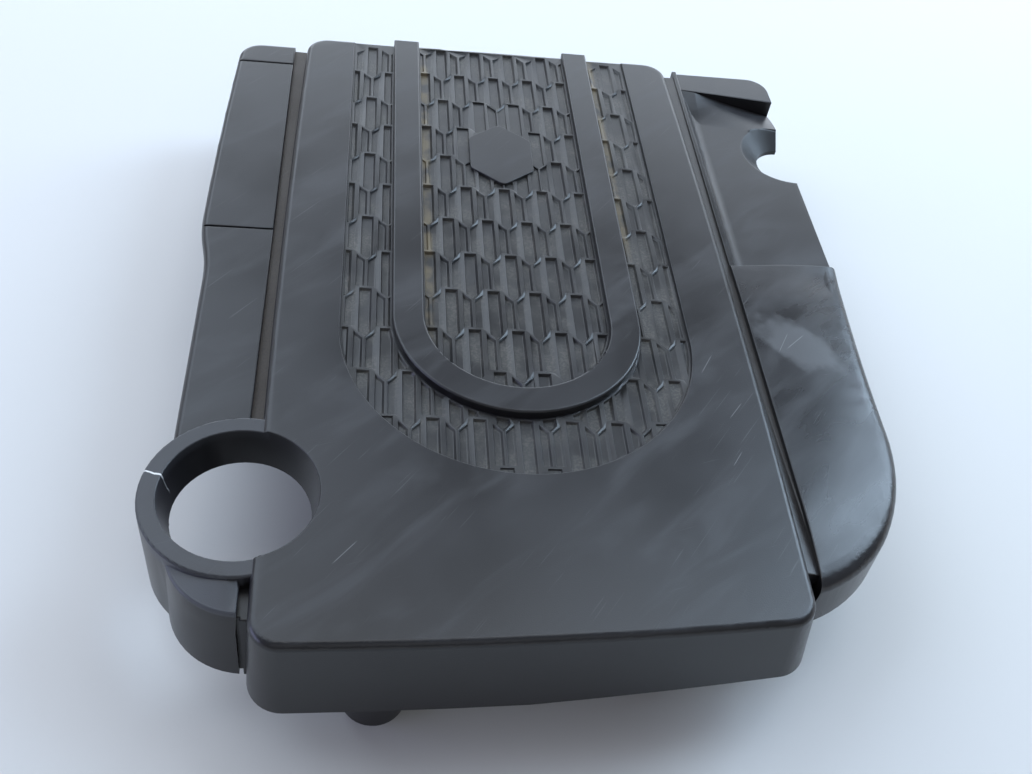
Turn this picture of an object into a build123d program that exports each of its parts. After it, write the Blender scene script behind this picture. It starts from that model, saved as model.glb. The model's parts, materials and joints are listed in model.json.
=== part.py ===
"""Car engine cover: one moulded shell held by four rubber grommets that snap over ball studs."""
import os
from math import radians, tan
from build123d import *

os.makedirs("parts", exist_ok=True)

# Moulding
WALL = 3.2
DRAFT = 3.0
EDGE_ROUND = 4.0
SMALL_ROUND = 1.5

# Heights, measured down from the raised middle, which stands TOP above the feet of the grommets
TOP = 88.0
BAND_RISE = 3.5
PANEL_DROP = 2.0
RING_DROP = 1.5
LOBE_DROP = 3.0
LEDGE_DROP = 6.5
STRIP_DROP = 7.0
WING_DROP = 8.0
GROOVE_DROP = 11.0
CREASE_DROP = 6.0
SADDLE_DROP = 14.0
SIDE_DEPTH = 28.0
LOBE_DEPTH = 38.0
FRONT_DEPTH = 56.5
FRONT_RISE = 10.0

# Raised middle in plan, with x = 0 on the axis of the U-shaped band
LEFT = 133.0
RIGHT = 131.5
SIDE_BOW = 3.5
BACK = 255.0
FRONT_LEFT = -239.0
FRONT_BULGE = 3.3
FRONT_RIGHT = -225.0
CORNER_R = 15.0
CORNER_FLARE = 10.5

# U-shaped band and the honeycomb panels on both sides of it
BAND_OUT = 71.4
BAND_IN = 53.4
BAND_Y = -31.5
PANEL_R = 100.0
PANEL_Y = -41.0
CELL_PITCH = 24.7
CELL_ROW = 32.25
CELL_FIRST_Y = 121.8
CELL_WAVE = 9.0
SLOT_W = 7.6
SLOT_RIB = 2.4
CELL_RIB = 1.4
POCKET_DEPTH = 1.3
POCKET_EDGE = 0.8
BLANK_Y = 126.0
BLANK_W = 42.0
BLANK_L = 66.0
BLANK_RISE = 1.2

# Left side
GROOVE_W = 10.0
WING_W = 37.0
WING_STEP = 6.0
WING_STEP_Y = 3.0
WING_STEP_L = 55.0
WING_BOW = 5.0
WING_BACK_R = 16.0
SEAM_W = 1.2
SEAM_BACK = 24.5
SEAM_FRONT = 207.5
RING_OUTSET = 10.5
RING_Y = -155.5
HOLE_R = 38.5
HOLE_LOW_R = 34.2
RING_R = 47.5
TUBE_DEPTH = 20.5
SKIRT_END_Y = -137.0
LEDGE_OUTSET = 4.0
LEDGE_Y = -181.0
LEDGE_R = 38.0
NOTCH_W = 6.0

# Right side
LOBE_GAP = 9.5
LOBE_W = 74.0
LOBE_BACK = 31.0
LOBE_SKEW = 7.5
LOBE_NIP = 5.0
LOBE_ROUND = 10.0
LOBE_FRONT = -202.0
LOBE_TURN = 103.0
LOBE_BEND = 28.0
LIP_DROP = 5.0
LIP_W = 3.0
LIP_CURVE = 12.0
STRIP_L = 21.5
STRIP_SKEW = 8.0
FAN_DROP = 22.0
FAN_L = 34.0
RIDGE_DROP = 11.0
SCOOP_Y = 169.0
SCOOP_LOW_R = 19.0
SCOOP_TOP_R = 43.0
SCOOP_FLOOR = 25.0
SCOOP_RIM = 7.0

# Ball-stud bosses and grommets
STUD_X = 76.0
LEFT_STUD_Y = 220.0
RIGHT_STUD_Y = 200.0
STUD_R = 5.0
BOSS_R = 16.5
BOSS_FOOT = 6.0
BOSS_SEAT = 3.0
GUSSET_L = 22.0
GUSSET_T = 2.4
NECK_R = 8.0
HEAD_R = 11.0
HEAD_H = 9.0
FLANGE_R = 13.0
BALL_Z = 9.0
NECK_PLAY = 0.1
HEAD_TAPER = 1.5
HALF_ROOT = 0.5**0.5

left_wall = -LEFT - GROOVE_W
wing_edge = left_wall - WING_W
ring_x = -LEFT - RING_OUTSET
ledge_x = -LEFT - LEDGE_OUTSET
notch_x = -LEFT - NOTCH_W
lobe_wall = RIGHT + LOBE_GAP
lobe_edge = lobe_wall + LOBE_W
groove_floor = TOP - GROOVE_DROP
crease_floor = TOP - CREASE_DROP
saddle_top = TOP - SADDLE_DROP
low_roof = saddle_top - WALL
mid_roof = TOP - WALL
ring_top = TOP - RING_DROP
panel_top = TOP - PANEL_DROP
band_top = TOP + BAND_RISE
front_low = TOP - FRONT_DEPTH
lobe_low = TOP - LOBE_DEPTH
side_low = TOP - SIDE_DEPTH
foot_out = FRONT_DEPTH * tan(radians(DRAFT))
front_mid_x = (RIGHT - LEFT) / 2
front_mid_y = (FRONT_LEFT + FRONT_RIGHT) / 2 - FRONT_BULGE
side_mid_y = (BACK + FRONT_LEFT) / 2
slit_plane = Plane(
    origin=(notch_x, LEDGE_Y - LEDGE_R + WALL / 2, TOP - LEDGE_DROP),
    x_dir=(1, 0, 0),
    z_dir=(0, -1, tan(radians(DRAFT))),
)
foot_mid_x = RIGHT + SIDE_BOW + (CORNER_FLARE + foot_out) / 2

# Plans
with BuildSketch() as plateau_plan:
    with BuildLine():
        ThreePointArc((-LEFT, BACK), (-LEFT - SIDE_BOW, side_mid_y), (-LEFT, FRONT_LEFT))
        ThreePointArc((-LEFT, FRONT_LEFT), (front_mid_x, front_mid_y), (RIGHT, FRONT_RIGHT))
        ThreePointArc((RIGHT, FRONT_RIGHT), (RIGHT + SIDE_BOW, side_mid_y), (RIGHT, BACK))
        Line((RIGHT, BACK), (-LEFT, BACK))
    make_face()
    fillet(vertices(), radius=CORNER_R)

with BuildSketch() as plateau_foot:
    with BuildLine():
        ThreePointArc(
            (-LEFT - foot_out, BACK + foot_out),
            (-LEFT - foot_out - SIDE_BOW, side_mid_y),
            (-LEFT - foot_out, FRONT_LEFT - foot_out),
        )
        ThreePointArc(
            (-LEFT - foot_out, FRONT_LEFT - foot_out),
            (front_mid_x, front_mid_y - foot_out),
            (RIGHT + CORNER_FLARE, FRONT_RIGHT - foot_out),
        )
        ThreePointArc(
            (RIGHT + CORNER_FLARE, FRONT_RIGHT - foot_out),
            (foot_mid_x, side_mid_y),
            (RIGHT + foot_out, BACK + foot_out),
        )
        Line((RIGHT + foot_out, BACK + foot_out), (-LEFT - foot_out, BACK + foot_out))
    make_face()
    fillet(vertices(), radius=CORNER_R + foot_out)

with BuildSketch() as plateau_hollow_plan:
    with BuildLine():
        Line((-LEFT, BACK), (-LEFT, FRONT_LEFT))
        ThreePointArc((-LEFT, FRONT_LEFT), (front_mid_x, front_mid_y), (RIGHT, FRONT_RIGHT))
        Line((RIGHT, FRONT_RIGHT), (RIGHT, BACK))
        Line((RIGHT, BACK), (-LEFT, BACK))
    make_face()
    fillet(vertices(), radius=CORNER_R)
    offset(amount=-WALL)

with BuildSketch() as hollow_foot:
    with BuildLine():
        Line((-LEFT - foot_out, BACK + foot_out), (-LEFT - foot_out, FRONT_LEFT - foot_out))
        ThreePointArc(
            (-LEFT - foot_out, FRONT_LEFT - foot_out),
            (front_mid_x, front_mid_y - foot_out),
            (RIGHT + CORNER_FLARE, FRONT_RIGHT - foot_out),
        )
        Line((RIGHT + CORNER_FLARE, FRONT_RIGHT - foot_out), (RIGHT + foot_out, BACK + foot_out))
        Line((RIGHT + foot_out, BACK + foot_out), (-LEFT - foot_out, BACK + foot_out))
    make_face()
    fillet(vertices(), radius=CORNER_R + foot_out)
    offset(amount=-WALL)

with BuildSketch() as wing_plan:
    with BuildLine():
        Line((left_wall, BACK), (left_wall, RING_Y))
        Line((left_wall, RING_Y), (wing_edge, RING_Y))
        narrow = Line((wing_edge, RING_Y), (wing_edge, WING_STEP_Y))
        swing = TangentArc(
            narrow @ 1,
            (wing_edge - WING_STEP / 2, WING_STEP_Y + WING_STEP_L / 2),
            tangent=narrow % 1,
        )
        settle = TangentArc(
            swing @ 1,
            (wing_edge - WING_STEP, WING_STEP_Y + WING_STEP_L),
            tangent=swing % 1,
        )
        wide = TangentArc(settle @ 1, (wing_edge - WING_STEP + WING_BOW, BACK), tangent=settle % 1)
        Line(wide @ 1, (left_wall, BACK))
    make_face()
    fillet(vertices().group_by(Axis.Y)[-1].sort_by(Axis.X)[0], radius=WING_BACK_R)

with BuildSketch() as wing_hollow_plan:
    add(wing_plan.sketch)
    offset(amount=-WALL)

with BuildSketch() as lobe_plan:
    with BuildLine():
        Line((lobe_wall, LOBE_FRONT), (lobe_wall, LOBE_BACK))
        Line((lobe_wall, LOBE_BACK), (lobe_edge, LOBE_BACK + LOBE_SKEW))
        side = ThreePointArc(
            (lobe_edge, LOBE_BACK + LOBE_SKEW),
            (lobe_edge - LOBE_NIP, (LOBE_BACK + LOBE_FRONT + LOBE_TURN) / 2 + LOBE_SKEW),
            (lobe_edge - LOBE_SKEW, LOBE_FRONT + LOBE_TURN),
        )
        turn = TangentArc(
            side @ 1,
            (lobe_edge - LOBE_BEND, LOBE_FRONT + LOBE_BEND + LOBE_SKEW),
            tangent=side % 1,
        )
        TangentArc(turn @ 1, (lobe_wall, LOBE_FRONT), tangent=turn % 1)
    make_face()

with BuildSketch() as lobe_hollow_plan:
    add(lobe_plan.sketch)
    offset(amount=-WALL)

with BuildSketch() as saddle_plan:
    with BuildLine():
        Polyline(
            (lobe_wall, LOBE_BACK - WALL),
            (lobe_edge, LOBE_BACK - WALL),
            (lobe_edge, BACK),
            (lobe_wall, BACK),
            close=True,
        )
    make_face()
    fillet(vertices().group_by(Axis.Y)[-1].sort_by(Axis.X)[-1], radius=CORNER_R)

with BuildSketch() as saddle_hollow_plan:
    add(saddle_plan.sketch)
    offset(amount=-WALL)

with BuildSketch() as band_plan:
    with BuildLine():
        Line((-BAND_OUT, BACK), (-BAND_OUT, BAND_Y))
        ThreePointArc((-BAND_OUT, BAND_Y), (0, BAND_Y - BAND_OUT), (BAND_OUT, BAND_Y))
        Line((BAND_OUT, BAND_Y), (BAND_OUT, BACK))
        Line((BAND_OUT, BACK), (BAND_IN, BACK))
        Line((BAND_IN, BACK), (BAND_IN, BAND_Y))
        ThreePointArc((BAND_IN, BAND_Y), (0, BAND_Y - BAND_IN), (-BAND_IN, BAND_Y))
        Line((-BAND_IN, BAND_Y), (-BAND_IN, BACK))
        Line((-BAND_IN, BACK), (-BAND_OUT, BACK))
    make_face()

with BuildSketch() as band_hollow_plan:
    add(band_plan.sketch)
    offset(amount=-WALL)

with BuildSketch() as centre_plan:
    with BuildLine():
        Line((-BAND_IN, BACK), (-BAND_IN, BAND_Y))
        ThreePointArc((-BAND_IN, BAND_Y), (0, BAND_Y - BAND_IN), (BAND_IN, BAND_Y))
        Line((BAND_IN, BAND_Y), (BAND_IN, BACK))
        Line((BAND_IN, BACK), (-BAND_IN, BACK))
    make_face()

with BuildSketch() as panel_plan:
    with BuildLine():
        Line((-PANEL_R, BACK + WALL), (-PANEL_R, PANEL_Y))
        ThreePointArc((-PANEL_R, PANEL_Y), (0, PANEL_Y - PANEL_R), (PANEL_R, PANEL_Y))
        Line((PANEL_R, PANEL_Y), (PANEL_R, BACK + WALL))
        Line((PANEL_R, BACK + WALL), (-PANEL_R, BACK + WALL))
    make_face()
    add(centre_plan.sketch, mode=Mode.SUBTRACT)
    add(band_plan.sketch, mode=Mode.SUBTRACT)

# Honeycomb: every cell is a slot between two narrow pockets, under a wavy rib
wave_slope = CELL_WAVE / (CELL_PITCH / 2 - SLOT_W / 2)
half_slot = SLOT_W / 2
side_in = half_slot + SLOT_RIB
side_out = CELL_PITCH / 2 - CELL_RIB / 2
slot_tip = -CELL_ROW - CELL_WAVE + CELL_RIB
slot_shoulder = slot_tip + half_slot * wave_slope
side_low_end = -CELL_ROW + CELL_RIB
side_high = -(side_in - half_slot) * wave_slope
side_drop = -(side_out - half_slot) * wave_slope
slot_points = [
    (-half_slot, 0),
    (half_slot, 0),
    (half_slot, slot_shoulder),
    (0, slot_tip),
    (-half_slot, slot_shoulder),
]
right_points = [
    (side_in, side_high),
    (side_out, side_drop),
    (side_out, side_low_end),
    (side_in, side_low_end),
]
left_points = [(-x, y) for x, y in right_points]
cells = []
for row in range(-4, 9):
    shift = (row % 2) * CELL_PITCH / 2
    for column in range(-4, 5):
        x = column * CELL_PITCH + CELL_PITCH / 2 - shift
        cells.append((x, CELL_FIRST_Y - row * CELL_ROW))

with BuildSketch() as pockets:
    with Locations(*cells):
        Polygon(*slot_points, align=None)
        Polygon(*right_points, align=None)
        Polygon(*left_points, align=None)

with BuildSketch() as blank_plan:
    with BuildLine():
        Polyline(
            (0, BLANK_Y + BLANK_L / 2),
            (BLANK_W / 2, BLANK_Y + BLANK_L / 4),
            (BLANK_W / 2, BLANK_Y - BLANK_L / 4),
            (0, BLANK_Y - BLANK_L / 2),
            (-BLANK_W / 2, BLANK_Y - BLANK_L / 4),
            (-BLANK_W / 2, BLANK_Y + BLANK_L / 4),
            close=True,
        )
    make_face()
    fillet(vertices(), radius=EDGE_ROUND)

with BuildSketch() as back_strip:
    with Locations((0, BACK)):
        Rectangle(2 * PANEL_R + 2 * WALL, 2 * EDGE_ROUND)

with BuildSketch() as centre_clip:
    add(centre_plan.sketch)
    offset(amount=-POCKET_EDGE)
    add(back_strip.sketch, mode=Mode.SUBTRACT)
    add(blank_plan.sketch, mode=Mode.SUBTRACT)

with BuildSketch() as panel_clip:
    add(panel_plan.sketch)
    offset(amount=-POCKET_EDGE)
    add(back_strip.sketch, mode=Mode.SUBTRACT)

with BuildSketch() as centre_pockets:
    add(pockets.sketch)
    add(centre_clip.sketch, mode=Mode.INTERSECT)

with BuildSketch() as panel_pockets:
    add(pockets.sketch)
    add(panel_clip.sketch, mode=Mode.INTERSECT)

smallest = SLOT_W * SLOT_RIB
centre_faces = centre_pockets.faces().filter_by(lambda face: face.area > smallest)
panel_faces = panel_pockets.faces().filter_by(lambda face: face.area > smallest)

# Raised middle
with BuildPart() as plateau:
    with BuildSketch(Plane.XY.offset(front_low)):
        add(plateau_foot.sketch)
    with BuildSketch(Plane.XY.offset(TOP)):
        add(plateau_plan.sketch)
    loft(ruled=True)
    fillet(faces().sort_by(Axis.Z)[-1].edges(), radius=EDGE_ROUND)
    with BuildSketch(Plane.XZ.offset(-SKIRT_END_Y)):
        Polygon(
            (front_mid_x, front_low),
            (RIGHT + LOBE_W, front_low),
            (RIGHT + LOBE_W, front_low + FRONT_RISE * (RIGHT + LOBE_W) / RIGHT),
            align=None,
        )
    extrude(amount=2 * LEFT, mode=Mode.SUBTRACT)

# Left wing, with the groove floor that joins it to the middle
with BuildPart() as wing:
    with BuildSketch(Plane.XY.offset(front_low)):
        add(wing_plan.sketch)
    extrude(amount=TOP - WING_DROP - front_low)
    top_edges = faces().sort_by(Axis.Z)[-1].edges()
    outer_edges = top_edges.filter_by(lambda edge: edge.center().X < wing_edge + WING_BACK_R)
    fillet(outer_edges, radius=EDGE_ROUND)
    with BuildSketch(Plane.XY.offset(front_low)):
        with Locations((-LEFT - GROOVE_W / 2, RING_Y)):
            Rectangle(3 * GROOVE_W, BACK - RING_Y - WALL, align=(Align.CENTER, Align.MIN))
    extrude(amount=groove_floor - front_low)
    with BuildSketch(Plane.XY.offset(TOP - WING_DROP)):
        with Locations((left_wall, BACK - SEAM_BACK), (left_wall, BACK - SEAM_FRONT)):
            Rectangle(3 * WING_W, SEAM_W)
    extrude(amount=-SEAM_W, mode=Mode.SUBTRACT)

# Ring round the filler hole
with BuildPart() as ring:
    with BuildSketch(Plane.XY.offset(front_low)):
        with Locations((ring_x, RING_Y)):
            Circle(RING_R)
    extrude(amount=ring_top - front_low)
    fillet(faces().sort_by(Axis.Z)[-1].edges(), radius=SMALL_ROUND)

# Ledge in front of the ring
with BuildPart() as ledge:
    with BuildSketch(Plane.XY.offset(TOP - LEDGE_DROP)):
        with Locations((ledge_x, LEDGE_Y)):
            Circle(LEDGE_R)
    extrude(amount=LEDGE_DROP - FRONT_DEPTH, taper=-DRAFT)
    fillet(faces().sort_by(Axis.Z)[-1].edges(), radius=EDGE_ROUND / 2)
    with BuildSketch(Plane.XY.offset(groove_floor)):
        with Locations((notch_x, LEDGE_Y)):
            Rectangle(2 * LEDGE_R, 3 * LEDGE_R, align=(Align.MIN, Align.CENTER))
    extrude(amount=GROOVE_DROP, mode=Mode.SUBTRACT)
    with BuildSketch(slit_plane):
        Rectangle(SEAM_W, 2 * FRONT_DEPTH, align=(Align.MIN, Align.CENTER))
    extrude(amount=LEDGE_R / 2, mode=Mode.SUBTRACT)

# Lobe at the right front
with BuildPart() as lobe:
    with BuildSketch(Plane.XY.offset(TOP - LOBE_DROP)):
        add(lobe_plan.sketch)
    extrude(amount=LOBE_DROP - LOBE_DEPTH, taper=-DRAFT)
    top_edges = faces().sort_by(Axis.Z)[-1].edges()
    fillet(top_edges.sort_by(Axis.X)[-2:], radius=LOBE_ROUND)
    with BuildSketch(Plane.XY.offset(lobe_low)):
        with Locations((lobe_wall + LIP_W / 2, LOBE_FRONT + CORNER_R / 2)):
            Rectangle(2 * LOBE_GAP, BACK - LOBE_FRONT - CORNER_R, align=(Align.MAX, Align.MIN))
    extrude(amount=crease_floor - lobe_low)

# Saddle behind the lobe: a flat with a curved lip beside the groove, a twisted fan and a raised back strip
fan_back = BACK - STRIP_L
fan_front = fan_back - FAN_L
lip_top = TOP - LIP_DROP
curve_x = lobe_wall + LIP_W + LIP_CURVE
with BuildPart() as saddle:
    with BuildSketch(Plane.XZ.offset(-LOBE_BACK + WALL)):
        with BuildLine():
            Line((lobe_wall, side_low), (lobe_wall, lip_top))
            Line((lobe_wall, lip_top), (lobe_wall + LIP_W, lip_top))
            Spline(
                (lobe_wall + LIP_W, lip_top),
                (curve_x, saddle_top),
                tangents=[(0.35, -1.0), (1.0, 0.0)],
            )
            Line((curve_x, saddle_top), (lobe_edge, saddle_top))
            Line((lobe_edge, saddle_top), (lobe_edge, side_low))
            Line((lobe_edge, side_low), (lobe_wall, side_low))
        make_face()
    extrude(amount=-(BACK - LOBE_BACK + WALL))
    with BuildSketch(Plane.XY.offset(saddle_top)):
        with Locations((lobe_edge, BACK)):
            Rectangle(lobe_edge - curve_x, BACK - fan_front, align=(Align.MAX, Align.MAX))
    extrude(amount=-(saddle_top - side_low), mode=Mode.SUBTRACT)
    with BuildSketch(Plane.YZ.offset(curve_x)):
        Polygon(
            (fan_front, side_low),
            (fan_front, TOP - RIDGE_DROP),
            (fan_back, TOP - STRIP_DROP),
            (fan_back, side_low),
            align=None,
        )
    with BuildSketch(Plane.YZ.offset(lobe_edge)):
        Polygon(
            (fan_front - STRIP_SKEW, side_low),
            (fan_front - STRIP_SKEW, saddle_top),
            (fan_back, TOP - FAN_DROP),
            (fan_back, side_low),
            align=None,
        )
    loft()
    with BuildSketch(Plane.XY.offset(side_low)):
        with BuildLine():
            Polyline(
                (lobe_wall, BACK),
                (lobe_edge, BACK),
                (lobe_edge, fan_back - STRIP_SKEW),
                (lobe_wall, fan_back),
                close=True,
            )
        make_face()
    extrude(amount=TOP - STRIP_DROP - side_low)
    with BuildSketch(Plane.XY.offset(side_low)):
        add(saddle_plan.sketch)
    extrude(amount=TOP, mode=Mode.INTERSECT)

# Pieces of the space inside the shell
with BuildPart() as ledge_hollow:
    with BuildSketch(Plane.XY.offset(TOP - LEDGE_DROP - WALL)):
        with Locations((ledge_x, LEDGE_Y)):
            Circle(LEDGE_R - WALL)
    extrude(amount=-TOP, taper=-DRAFT)
    with BuildSketch(Plane.XY.offset(groove_floor - WALL)):
        with Locations((notch_x - WALL, LEDGE_Y)):
            Rectangle(2 * LEDGE_R, 3 * LEDGE_R, align=(Align.MIN, Align.CENTER))
    extrude(amount=GROOVE_DROP, mode=Mode.SUBTRACT)

with BuildPart() as plateau_hollow:
    with BuildSketch(Plane.XY.offset(front_low)):
        add(hollow_foot.sketch)
    with BuildSketch(Plane.XY.offset(mid_roof)):
        add(plateau_hollow_plan.sketch)
    loft(ruled=True)
    with BuildSketch():
        add(hollow_foot.sketch)
    extrude(amount=front_low)
    with BuildSketch(Plane.XY.offset(mid_roof)):
        add(panel_plan.sketch)
        offset(amount=WALL)
    extrude(amount=-PANEL_DROP, mode=Mode.SUBTRACT)

with BuildPart() as lobe_hollow:
    with BuildSketch(Plane.XY.offset(TOP - LOBE_DROP - WALL)):
        add(lobe_hollow_plan.sketch)
    extrude(amount=-TOP, taper=-DRAFT)
    hollow_edges = faces().sort_by(Axis.Z)[-1].edges()
    fillet(hollow_edges.sort_by(Axis.X)[-2:], radius=LOBE_ROUND - WALL)

with BuildPart() as saddle_hollow:
    with BuildSketch():
        add(saddle_hollow_plan.sketch)
        with Locations((lobe_edge, fan_front - STRIP_SKEW - WALL)):
            Rectangle(2 * LOBE_W, BACK, align=(Align.CENTER, Align.MIN), mode=Mode.SUBTRACT)
    extrude(amount=low_roof)
    with BuildSketch():
        add(saddle_hollow_plan.sketch)
    extrude(amount=TOP - FAN_DROP - WALL)
    with BuildSketch():
        add(saddle_hollow_plan.sketch)
        with Locations((lobe_edge, fan_back + WALL)):
            Rectangle(2 * LOBE_W, BACK, align=(Align.CENTER, Align.MAX), mode=Mode.SUBTRACT)
    extrude(amount=TOP - STRIP_DROP - WALL)
    with Locations((lobe_edge, SCOOP_Y, TOP - SCOOP_FLOOR)):
        Cone(
            SCOOP_LOW_R + WALL,
            SCOOP_TOP_R + WALL,
            SCOOP_FLOOR - SCOOP_RIM,
            align=(Align.CENTER, Align.CENTER, Align.MIN),
            mode=Mode.SUBTRACT,
        )
    with Locations((lobe_edge, SCOOP_Y, 0)):
        Cylinder(
            SCOOP_LOW_R + WALL,
            TOP - SCOOP_FLOOR,
            align=(Align.CENTER, Align.CENTER, Align.MIN),
            mode=Mode.SUBTRACT,
        )

# Raised parts on the middle
with BuildPart() as band:
    with BuildSketch(Plane.XY.offset(mid_roof)):
        add(band_plan.sketch)
    extrude(amount=BAND_RISE + WALL)
    fillet(faces().sort_by(Axis.Z)[-1].edges(), radius=SMALL_ROUND)

with BuildPart() as blank:
    with BuildSketch(Plane.XY.offset(mid_roof)):
        add(blank_plan.sketch)
    extrude(amount=BLANK_RISE + WALL)
    fillet(faces().sort_by(Axis.Z)[-1].edges(), radius=BLANK_RISE / 2)

# Where the bosses stand
studs = [
    (-STUD_X, -LEFT_STUD_Y),
    (-STUD_X, LEFT_STUD_Y),
    (STUD_X, -RIGHT_STUD_Y),
    (STUD_X, RIGHT_STUD_Y),
]
gusset_reach = BOSS_R + GUSSET_L
gusset_low = BOSS_FOOT + BOSS_SEAT

# The whole moulding
with BuildPart() as cover:
    add(plateau.part)
    add(wing.part)
    add(ring.part)
    add(ledge.part)
    add(lobe.part)
    add(saddle.part)
    add(plateau_hollow.part, mode=Mode.SUBTRACT)
    add(ledge_hollow.part, mode=Mode.SUBTRACT)
    add(lobe_hollow.part, mode=Mode.SUBTRACT)
    add(saddle_hollow.part, mode=Mode.SUBTRACT)
    with BuildSketch():
        add(wing_hollow_plan.sketch)
    extrude(amount=TOP - WING_DROP - WALL, mode=Mode.SUBTRACT)
    with BuildSketch():
        with Locations((ring_x, RING_Y)):
            Circle(RING_R - WALL)
    extrude(amount=ring_top - WALL, mode=Mode.SUBTRACT)
    with BuildSketch():
        with Locations((-LEFT - GROOVE_W / 2, RING_Y + HOLE_R)):
            Rectangle(GROOVE_W + 4 * WALL, BACK - RING_Y - HOLE_R - 2 * WALL, align=(Align.CENTER, Align.MIN))
        with Locations((RIGHT + LOBE_GAP / 2, SKIRT_END_Y + WALL)):
            Rectangle(LOBE_GAP + 4 * WALL, BACK - SKIRT_END_Y - 3 * WALL, align=(Align.CENTER, Align.MIN))
        with Locations((RIGHT + WALL, LOBE_FRONT + CORNER_R / 2 + WALL)):
            Rectangle(LOBE_GAP + WALL, SKIRT_END_Y - LOBE_FRONT, align=(Align.MIN, Align.MIN))
    extrude(amount=groove_floor - WALL, mode=Mode.SUBTRACT)
    with BuildSketch():
        with Locations((lobe_wall, SKIRT_END_Y + WALL)):
            Rectangle(LOBE_GAP, BACK - SKIRT_END_Y - 3 * WALL, align=(Align.MAX, Align.MIN))
    extrude(amount=crease_floor - WALL, mode=Mode.SUBTRACT)
    with BuildSketch():
        with Locations((lobe_wall, SKIRT_END_Y)):
            Rectangle(3 * LEFT, 2 * BACK, align=(Align.MAX, Align.MIN))
        with Locations((lobe_wall, LOBE_BACK + LOBE_SKEW + WALL)):
            Rectangle(3 * LEFT, 2 * BACK, align=(Align.CENTER, Align.MIN))
    extrude(amount=side_low, mode=Mode.SUBTRACT)
    with Locations((lobe_edge, SCOOP_Y, TOP - SCOOP_FLOOR)):
        Cone(
            SCOOP_LOW_R,
            SCOOP_TOP_R,
            SCOOP_FLOOR - SCOOP_RIM,
            align=(Align.CENTER, Align.CENTER, Align.MIN),
            mode=Mode.SUBTRACT,
        )
    with Locations((lobe_edge, SCOOP_Y, 0)):
        Cylinder(SCOOP_LOW_R, TOP, align=(Align.CENTER, Align.CENTER, Align.MIN), mode=Mode.SUBTRACT)
    with Locations((ring_x, RING_Y, ring_top - TUBE_DEPTH)):
        Cone(
            HOLE_LOW_R + WALL,
            HOLE_R + WALL,
            TUBE_DEPTH,
            align=(Align.CENTER, Align.CENTER, Align.MIN),
        )
    with BuildSketch(Plane.XY.offset(TOP)):
        add(panel_plan.sketch)
    extrude(amount=-PANEL_DROP, mode=Mode.SUBTRACT)
    add(band.part)
    add(blank.part)
    with BuildSketch(Plane.XY.offset(band_top - WALL)):
        add(band_hollow_plan.sketch)
    extrude(amount=-(BAND_RISE + PANEL_DROP), mode=Mode.SUBTRACT)
    for x, y in studs:
        with BuildSketch(Plane.XY.offset(BOSS_FOOT)):
            with Locations((x, y)):
                Circle(BOSS_R)
        extrude(amount=mid_roof + WALL / 8 - BOSS_FOOT)
        with BuildSketch(Plane.XZ.offset(-y)):
            Polygon(
                (x - gusset_reach, mid_roof + WALL / 8),
                (x + gusset_reach, mid_roof + WALL / 8),
                (x + NECK_R, gusset_low),
                (x - NECK_R, gusset_low),
                align=None,
            )
        extrude(amount=GUSSET_T / 2, both=True)
    for x, y in studs:
        with BuildSketch(Plane.XY.offset(gusset_low)):
            with Locations((x, y)):
                Circle(BOSS_R - WALL)
        extrude(amount=mid_roof - PANEL_DROP - gusset_low, mode=Mode.SUBTRACT)
        with BuildSketch(Plane.XY.offset(BOSS_FOOT)):
            with Locations((x, y)):
                Circle(NECK_R)
        extrude(amount=BOSS_SEAT, mode=Mode.SUBTRACT)
    with Locations((ring_x, RING_Y, ring_top - TUBE_DEPTH)):
        Cone(
            HOLE_LOW_R,
            HOLE_R,
            TUBE_DEPTH,
            align=(Align.CENTER, Align.CENTER, Align.MIN),
            mode=Mode.SUBTRACT,
        )
    with Locations((ring_x, RING_Y, ring_top)):
        Cylinder(HOLE_R, TUBE_DEPTH, align=(Align.CENTER, Align.CENTER, Align.MIN), mode=Mode.SUBTRACT)
    with BuildSketch(Plane.XY.offset(TOP)):
        add(centre_faces)
    extrude(amount=-POCKET_DEPTH, mode=Mode.SUBTRACT)
    with BuildSketch(Plane.XY.offset(panel_top)):
        add(panel_faces)
    extrude(amount=-POCKET_DEPTH, mode=Mode.SUBTRACT)

# The frame has its origin in the middle of the box round the cover, on the plane of the feet
reach = cover.part.bounding_box()
middle = Location((-(reach.min.X + reach.max.X) / 2, -(reach.min.Y + reach.max.Y) / 2, 0))
moulding = cover.part.moved(middle)
moulding.label = "engine_cover"
export_step(moulding, "parts/engine_cover.step")

# One grommet in the foot of each boss, a ball socket with a flange and a head
for number, (x, y) in enumerate(studs, start=1):
    with BuildPart() as grommet:
        with BuildSketch(Plane.XZ.offset(-y)):
            with BuildLine():
                Polyline(
                    (x + STUD_R, 0),
                    (x + FLANGE_R, 0),
                    (x + FLANGE_R, BOSS_FOOT),
                    (x + NECK_R - NECK_PLAY, BOSS_FOOT),
                    (x + NECK_R - NECK_PLAY, gusset_low),
                    (x + HEAD_R, gusset_low),
                    (x + HEAD_R - HEAD_TAPER, gusset_low + HEAD_H),
                    (x, gusset_low + HEAD_H),
                    (x, BALL_Z + STUD_R),
                )
                ThreePointArc(
                    (x, BALL_Z + STUD_R),
                    (x + STUD_R * HALF_ROOT, BALL_Z + STUD_R * HALF_ROOT),
                    (x + STUD_R, BALL_Z),
                )
                Line((x + STUD_R, BALL_Z), (x + STUD_R, 0))
            make_face()
        revolve(axis=Axis((x, y, 0), (0, 0, 1)))
    rubber = grommet.part.moved(middle)
    rubber.label = f"stud_grommet_{number}"
    export_step(rubber, f"parts/stud_grommet_{number}.step")
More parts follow.
